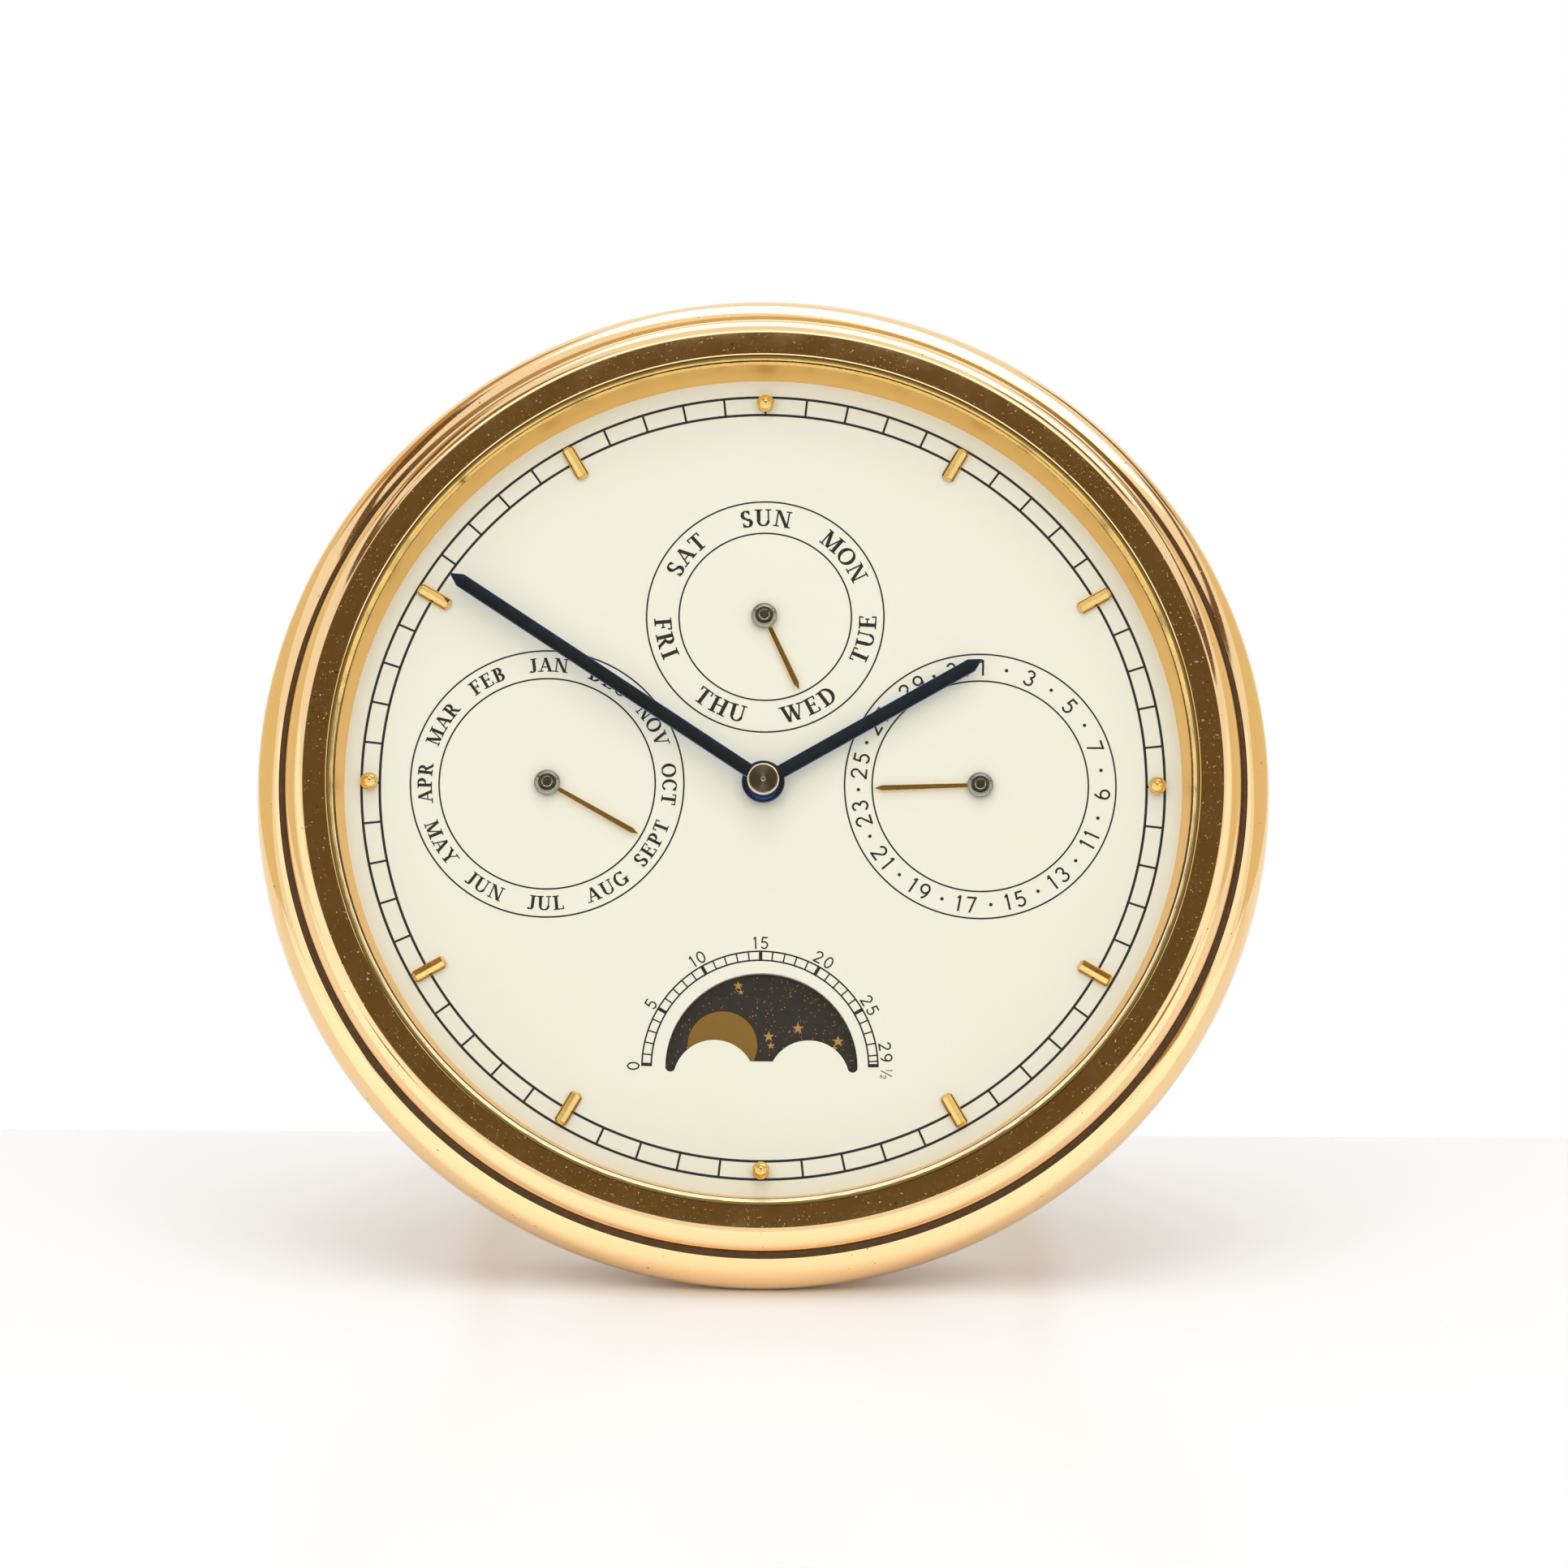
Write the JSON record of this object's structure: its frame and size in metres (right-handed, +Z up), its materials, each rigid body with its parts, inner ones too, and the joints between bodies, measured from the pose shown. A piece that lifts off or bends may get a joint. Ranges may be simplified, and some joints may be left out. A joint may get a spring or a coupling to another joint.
{
  "type": "moon phase desk clock",
  "caption": "Round gilt desk clock with a cream dial, day, date and month sub-dials and a moon window, leaning back on a hinged hoop stand.",
  "frame": {"origin": "on the table under the middle of the clock's box, as it stands leaning back on its open hoop", "axes": "+Z up, -Y towards the reader, who faces the dial, +X to the reader's right; the case leans back 22.2 degrees about X"},
  "size_m": [0.1, 0.0742, 0.0931],
  "materials": {
    "gilt_polished": "polished gold plating",
    "gilt_satin": "fine-turned gold plating",
    "steel_pins": "polished steel",
    "clear_glass": "flat clear mineral glass",
    "pale_gold": "pale polished gold",
    "cream_dial": "satin cream lacquer with black printing",
    "blued_steel": "dark blued steel",
    "sky_disc": "very dark lacquer with gilt moon and stars",
    "wheel_brass": "cut brass",
    "spring_steel": "bright steel",
    "movement_plastic": "dark moulded plastic",
    "board_green": "green board"
  },
  "bodies": {
    "case": {"case_body": "gilt_polished", "bezel": "gilt_polished", "crystal": "clear_glass", "rehaut_ring": "pale_gold", "dial_plate": "cream_dial", "hour_batons": "pale_gold", "quarter_balls": "pale_gold", "calendar_plate": "wheel_brass", "jumper_springs": "spring_steel", "movement_housing": "movement_plastic", "circuit_board": "board_green", "quartz_can": "spring_steel", "battery_contact": "spring_steel", "battery": "spring_steel", "back_cover": "gilt_satin", "hinge_lugs": "gilt_polished", "hinge_pins": "steel_pins"},
    "minute": {"minute_hand": "blued_steel", "hub_nut": "steel_pins", "cannon_pinion": "wheel_brass"},
    "hour": {"hour_hand": "blued_steel", "hour_wheel": "wheel_brass"},
    "minute_wheel": {"minute_wheel": "wheel_brass"},
    "calendar_wheel": {"calendar_wheel": "wheel_brass"},
    "setting": {"setting_knob": "gilt_polished", "setting_arbor": "wheel_brass"},
    "day": {"day_star": "wheel_brass", "day_hand": "pale_gold", "day_cap": "steel_pins"},
    "month": {"month_star": "wheel_brass", "month_hand": "pale_gold", "month_cap": "steel_pins"},
    "date": {"date_star": "wheel_brass", "date_hand": "pale_gold", "date_cap": "steel_pins"},
    "moon": {"moon_disc": "sky_disc"},
    "day_button": {"day_corrector": "steel_pins"},
    "date_button": {"date_corrector": "steel_pins"},
    "month_button": {"month_corrector": "steel_pins"},
    "moon_button": {"moon_corrector": "steel_pins"},
    "hatch": {"battery_hatch": "gilt_satin"},
    "hoop": {"stand_hoop": "gilt_polished"}
  },
  "joints": [
    {"name": "minute_turn", "type": "hinge", "parent": "case", "child": "minute", "pos_m": [0, -0.01768, 0.04801], "axis": [0, 0.9259, -0.3778], "continuous": true},
    {"name": "hour_turn", "type": "hinge", "parent": "case", "child": "hour", "pos_m": [0, -0.01694, 0.04771], "axis": [0, 0.9259, -0.3778], "continuous": true},
    {"name": "minute_wheel_turn", "type": "hinge", "parent": "case", "child": "minute_wheel", "pos_m": [-0.00354, -0.01531, 0.04323], "axis": [0, 0.9259, -0.3778], "continuous": true},
    {"name": "calendar_wheel_turn", "type": "hinge", "parent": "case", "child": "calendar_wheel", "pos_m": [0.00848, -0.01718, 0.03864], "axis": [0, 0.9259, -0.3778], "continuous": true},
    {"name": "setting_turn", "type": "hinge", "parent": "case", "child": "setting", "pos_m": [-0.00354, -0.00424, 0.03331], "axis": [0, 0.9259, -0.3778], "continuous": true},
    {"name": "day_turn", "type": "hinge", "parent": "case", "child": "day", "pos_m": [0, -0.00974, 0.06324], "axis": [0, 0.9259, -0.3778], "continuous": true},
    {"name": "month_turn", "type": "hinge", "parent": "case", "child": "month", "pos_m": [-0.0213, -0.0162, 0.04741], "axis": [0, 0.9259, -0.3778], "continuous": true},
    {"name": "date_turn", "type": "hinge", "parent": "case", "child": "date", "pos_m": [0.0214, -0.0162, 0.04741], "axis": [0, 0.9259, -0.3778], "continuous": true},
    {"name": "moon_turn", "type": "hinge", "parent": "case", "child": "moon", "pos_m": [0, -0.02597, 0.01975], "axis": [0, 0.9259, -0.3778], "continuous": true},
    {"name": "day_press", "type": "slide", "parent": "case", "child": "day_button", "axis": [0, -0.9259, 0.3778], "range_m": [0, 0.0008], "stiffness_N_per_m": 400},
    {"name": "date_press", "type": "slide", "parent": "case", "child": "date_button", "axis": [0, -0.9259, 0.3778], "range_m": [0, 0.0008], "stiffness_N_per_m": 400},
    {"name": "month_press", "type": "slide", "parent": "case", "child": "month_button", "axis": [0, -0.9259, 0.3778], "range_m": [0, 0.0008], "stiffness_N_per_m": 400},
    {"name": "moon_press", "type": "slide", "parent": "case", "child": "moon_button", "axis": [0, -0.9259, 0.3778], "range_m": [0, 0.0008], "stiffness_N_per_m": 400},
    {"name": "hatch_turn", "type": "hinge", "parent": "case", "child": "hatch", "pos_m": [0.017, -0.00836, 0.02585], "axis": [0, -0.9259, 0.3778], "range_deg": [0, 60]},
    {"name": "hoop_fold", "type": "hinge", "parent": "case", "child": "hoop", "pos_m": [0, 0.00915, 0.06082], "axis": [-1, 0, 0], "range_deg": [0, 46.1]}
  ],
  "couplings": [
    {"joint": "hour_turn", "follows": "minute_turn", "ratio": 0.083333},
    {"joint": "minute_wheel_turn", "follows": "minute_turn", "ratio": -0.33333},
    {"joint": "calendar_wheel_turn", "follows": "minute_turn", "ratio": -0.041667},
    {"joint": "setting_turn", "follows": "minute_turn", "ratio": 1}
  ]
}
